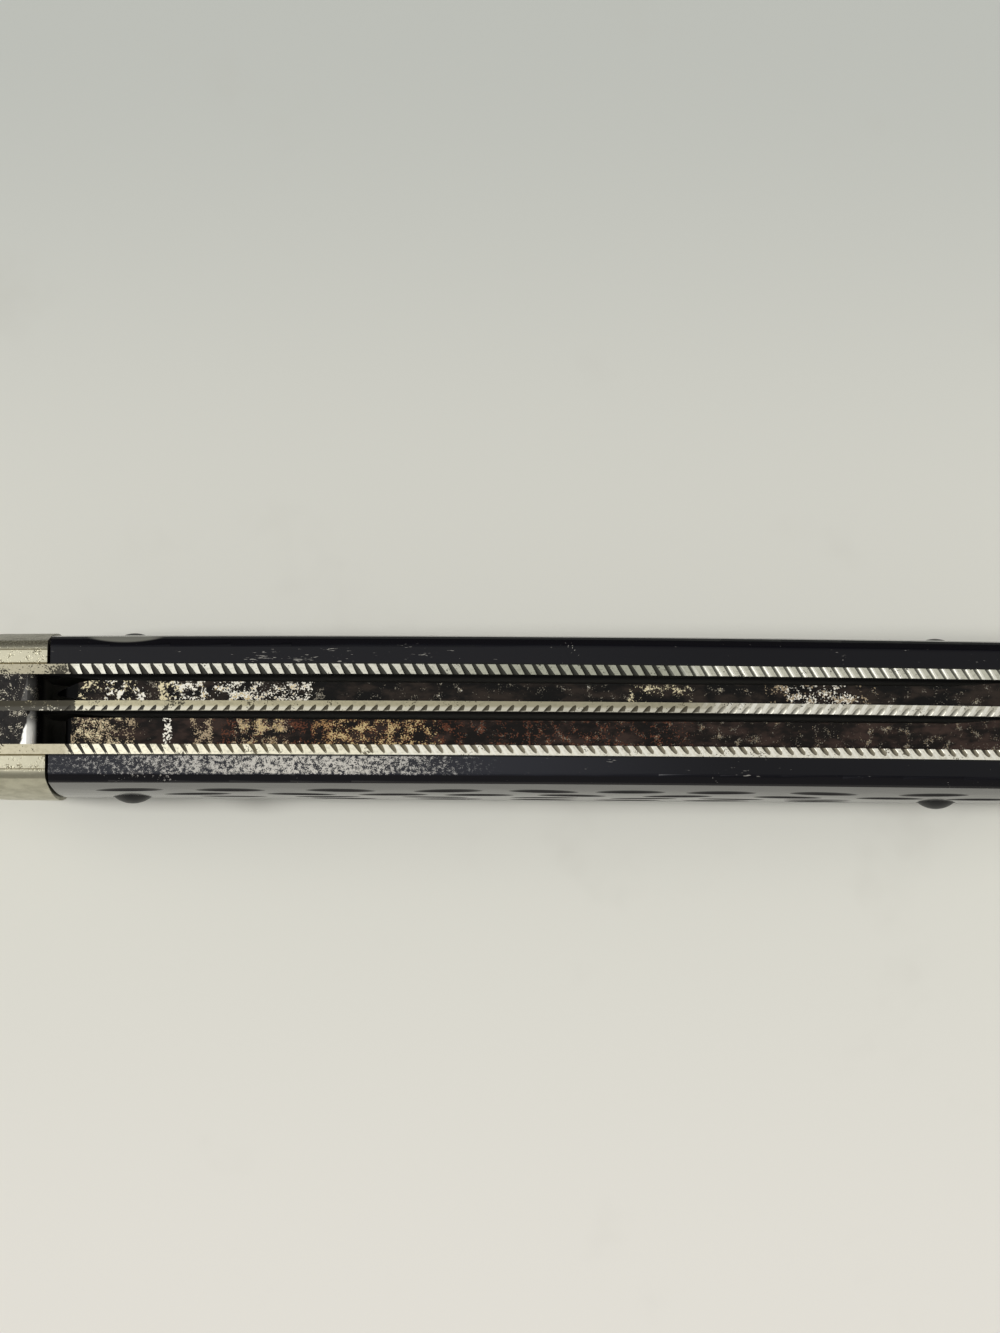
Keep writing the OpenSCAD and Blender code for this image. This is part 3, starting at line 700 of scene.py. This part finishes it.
def spring_steel(name, highlight_strength, near_y):
    """Dark spring steel, its butt end with a painted highlight at the corner beside the liner at near_y.

    highlight_strength is how bright the painted highlight is, from 0 to 1.
    """
    finish, tree, shader, place = new_finish(name)
    depth = use(tree, depth_group, {"Place": place})["Depth"]
    spots = {"Place": place, "Size": 0.105, "Cluster": 0.6, "Softness": 0.05}
    spots["Share"] = amount(tree, step_up(tree, depth, *fleck_depths), *spring_fleck_shares)
    spots = use(tree, fleck_group, spots)["Mask"]
    cloudy = patches(tree, place, spring_cloud_size, spring_cloud_edges, detail=4.0)
    steel = between(tree, cloudy, spring_brown, spring_black)
    steel = between(tree, spots, steel, spring_fleck)
    # Painted light: parts low in the wells are painted grey to lift their dark.
    lifted_in_well = use(tree, well_group, {"Depth": depth, **well_lift_run})["Mask"]
    steel = between(tree, lifted_in_well, steel, well_grey)

    sides = sides_of(tree, place)
    # Painted highlight: a crescent on the corner of the butt end is painted near white.
    wavy = times_plus(tree, grains(tree, place, spring_cloud_size), corner_waver, sides["X"])
    off_liner = less(tree, sides["Y"], near_y)
    wavy = times_plus(tree, off_liner, corner_slant, wavy)
    corner_highlight = times(tree, step_up(tree, wavy, *corner_begins), step_up(tree, sides["Z"], *corner_heights))
    corner_highlight = times(tree, corner_highlight, step_up(tree, sides["X"], *corner_ends))
    corner_highlight = times(tree, corner_highlight, amount(tree, step_up(tree, off_liner, *corner_dims), 1.0, dimmed_share))
    corner_highlight = times(tree, corner_highlight, highlight_strength)
    feed(tree, shader, {
        "Base Color": between(tree, corner_highlight, steel, spring_highlight_white),
        "Metallic": amount(tree, spots, *spring_metallic),
        "Roughness": amount(tree, most(tree, spots, corner_highlight), *spring_roughness),
    })
    shader.inputs["IOR"].default_value = 1.3
    raise_relief(tree, shader, cloudy, strength=0.4, distance=0.00004)
    return finish


dress("main_spring", spring_steel("main_spring_steel", highlight_strength=1.0, near_y=-2.8))
dress("second_spring", spring_steel("second_spring_steel", highlight_strength=0.06, near_y=0.7))


# The blades are forged carbon steel. Their sides are ground along their length and stained, and
# their backs, which show in the wells, are dark with flecks of bare metal and some rust. The pale
# flecks are partly bare metal and partly painted glints, and the points are painted black as painted shade.

side_light = colour(150, 150, 148)
side_stain = colour(88, 86, 84)
side_line = colour(70, 68, 66)
point_shade_black = colour(5, 5, 5)
back_leans = (0.8, 0.4)
tang_begins = (40.0, 38.0)
point_shade_ends = (-38.2, -38.4)
stain_size = 5.0
stain_stretch = (1.6, 1, 1)
stain_edges = (0.38, 0.68)
line_size = 0.12
line_stretch = (40, 1, 1)
line_share = 0.35
rust_size = 1.1
rust_stretch = (2, 1, 1)
rust_edges = (0.42, 0.66)
side_roughness = 0.34
back_metallic = (0.0, 0.8)
back_roughness = (0.65, 0.4)


def blade_steel(name, back_dark, rust, fleck_runs):
    """Stained blade steel with runs of flecks on its back.

    Each run has a start and an end along the knife, the length over which it fades, and the
    flecks' size, share and colour.
    """
    finish, tree, shader, place = new_finish(name)
    facing = sides_of(tree, put(tree, "TexCoord", {}).outputs["Normal"])
    sideways = work_out(tree, "ABSOLUTE", facing["Y"])
    along = sides_of(tree, place)["X"]
    on_back = times(tree, step_up(tree, sideways, *back_leans), step_up(tree, along, *tang_begins))
    stain = patches(tree, place, stain_size, stain_edges, stain_stretch, detail=5.0)
    side = between(tree, stain, side_light, side_stain)
    lines = grains(tree, place, line_size, line_stretch)
    side = between(tree, times(tree, lines, line_share), side, side_line)
    rusty = patches(tree, place, rust_size, rust_edges, rust_stretch, detail=4.0)
    back = between(tree, rusty, back_dark, rust)
    # Painted shade: the point, down in the well, is painted near black.
    back = between(tree, step_up(tree, along, *point_shade_ends), back, point_shade_black)
    bare = 0.0
    for start, end, fade, size, share, fleck in fleck_runs:
        window = use(tree, stretch_group, {"Place": place, "From": start, "To": end, "Fade": fade})["Mask"]
        spots = {"Place": place, "Size": size, "Cluster": 0.8, "Softness": 0.04}
        spots["Share"] = times(tree, window, share)
        spots = use(tree, fleck_group, spots)["Mask"]
        back = between(tree, spots, back, fleck)
        bare = most(tree, spots, bare)
    feed(tree, shader, {
        "Base Color": between(tree, on_back, side, back),
        "Metallic": amount(tree, on_back, 1.0, amount(tree, bare, *back_metallic)),
        "Roughness": amount(tree, on_back, side_roughness, amount(tree, bare, *back_roughness)),
    })
    shader.inputs["IOR"].default_value = 1.2
    raise_relief(tree, shader, amount(tree, on_back, lines, rusty), strength=0.35, distance=0.00003)
    return finish


# The pale flecks below are partly bare metal and partly painted glints, in runs where the lamp's highlights
# fall.
white_fleck = colour(250, 246, 232)
cream_fleck = colour(232, 220, 182)
gold_fleck = colour(206, 184, 136)
beige_fleck = colour(176, 158, 130)
ochre_fleck = colour(172, 138, 96)
rust_fleck = colour(98, 62, 48)
grey_fleck = colour(124, 118, 106)
second_back_dark = colour(18, 17, 16)
second_rust = colour(46, 39, 34)
second_runs = [
    (-38.4, -18.0, 1.0, 0.14, 0.36, grey_fleck),
    (-38.6, -33.0, 0.5, 0.15, 0.38, cream_fleck),
    (-36.6, -34.2, 0.6, 0.22, 0.46, white_fleck),
    (-34.2, -32.6, 0.5, 0.22, 0.42, white_fleck),
    (-32.4, -29.4, 0.8, 0.2, 0.42, cream_fleck),
    (-31.6, -24.0, 1.0, 0.18, 0.4, white_fleck),
    (-27.4, -18.6, 1.2, 0.17, 0.42, white_fleck),
    (-30.0, -19.0, 2.0, 0.17, 0.28, gold_fleck),
    (-20.0, 60.0, 4.0, 0.13, 0.22, grey_fleck),
    (5.0, 11.6, 1.5, 0.12, 0.3, cream_fleck),
    (16.8, 26.0, 2.6, 0.17, 0.42, white_fleck),
    (15.0, 27.0, 2.6, 0.15, 0.34, beige_fleck),
]
main_back_dark = colour(22, 19, 17)
main_rust = colour(54, 42, 37)
main_runs = [
    (-39.1, -33.4, 0.4, 0.13, 0.44, beige_fleck),
    (-39.0, -34.0, 0.6, 0.12, 0.32, cream_fleck),
    (-33.6, -31.8, 0.6, 0.12, 0.16, grey_fleck),
    (-31.7, -30.4, 0.5, 0.18, 0.52, white_fleck),
    (-29.8, -27.0, 0.7, 0.13, 0.42, beige_fleck),
    (-28.4, -6.0, 2.0, 0.14, 0.4, rust_fleck),
    (-26.4, -20.6, 1.0, 0.13, 0.43, beige_fleck),
    (-26.0, -21.0, 1.0, 0.12, 0.34, gold_fleck),
    (-20.4, -8.8, 1.4, 0.13, 0.42, ochre_fleck),
    (-19.0, -8.4, 1.4, 0.13, 0.36, gold_fleck),
    (-9.6, 60.0, 4.0, 0.11, 0.24, grey_fleck),
    (-9.6, 14.0, 4.0, 0.16, 0.36, rust_fleck),
    (-6.0, 60.0, 6.0, 0.1, 0.16, beige_fleck),
]
dress("second_blade", blade_steel("second_blade_steel", second_back_dark, second_rust, second_runs))
dress("main_blade", blade_steel("main_blade_steel", main_back_dark, main_rust, main_runs))


# The three pins are drawn nickel silver wire, cut, peened over and ground flush. One carries the
# blades, one passes through the middle of the springs, and one through their butt ends.

pin_light = colour(222, 216, 194)
pin_dull = colour(204, 198, 176)
pin_wear_size = 1.5
pin_wear_edges = (0.35, 0.7)
pin_roughness = (0.26, 0.4)
pin_finish, tree, shader, place = new_finish("pin_silver")
worn = patches(tree, place, pin_wear_size, pin_wear_edges)
feed(tree, shader, {
    "Base Color": between(tree, worn, pin_light, pin_dull),
    "Roughness": amount(tree, worn, *pin_roughness),
})
shader.inputs["Metallic"].default_value = 1
for name in ("pivot_pin", "centre_pin", "cap_pin"):
    dress(name, pin_finish)


# The four rivets are blackened steel with domed heads, rubbed a little grey on top. They hold
# the scales to the liners.

rivet_black = colour(14, 14, 15)
rivet_grey = colour(48, 46, 44)
rivet_wear_size = 0.5
rivet_wear_edges = (0.5, 0.8)
rivet_metallic = (0.0, 0.6)
rivet_finish, tree, shader, place = new_finish("blackened_rivet")
rubbed = patches(tree, place, rivet_wear_size, rivet_wear_edges, detail=4.0)
feed(tree, shader, {
    "Base Color": between(tree, rubbed, rivet_black, rivet_grey),
    "Metallic": amount(tree, rubbed, *rivet_metallic),
})
shader.inputs["Roughness"].default_value = 0.42
shader.inputs["IOR"].default_value = 1.3
for name in ("mark_rivet_cap_end", "mark_rivet_pivot_end", "pile_rivet_cap_end", "pile_rivet_pivot_end"):
    dress(name, rivet_finish)
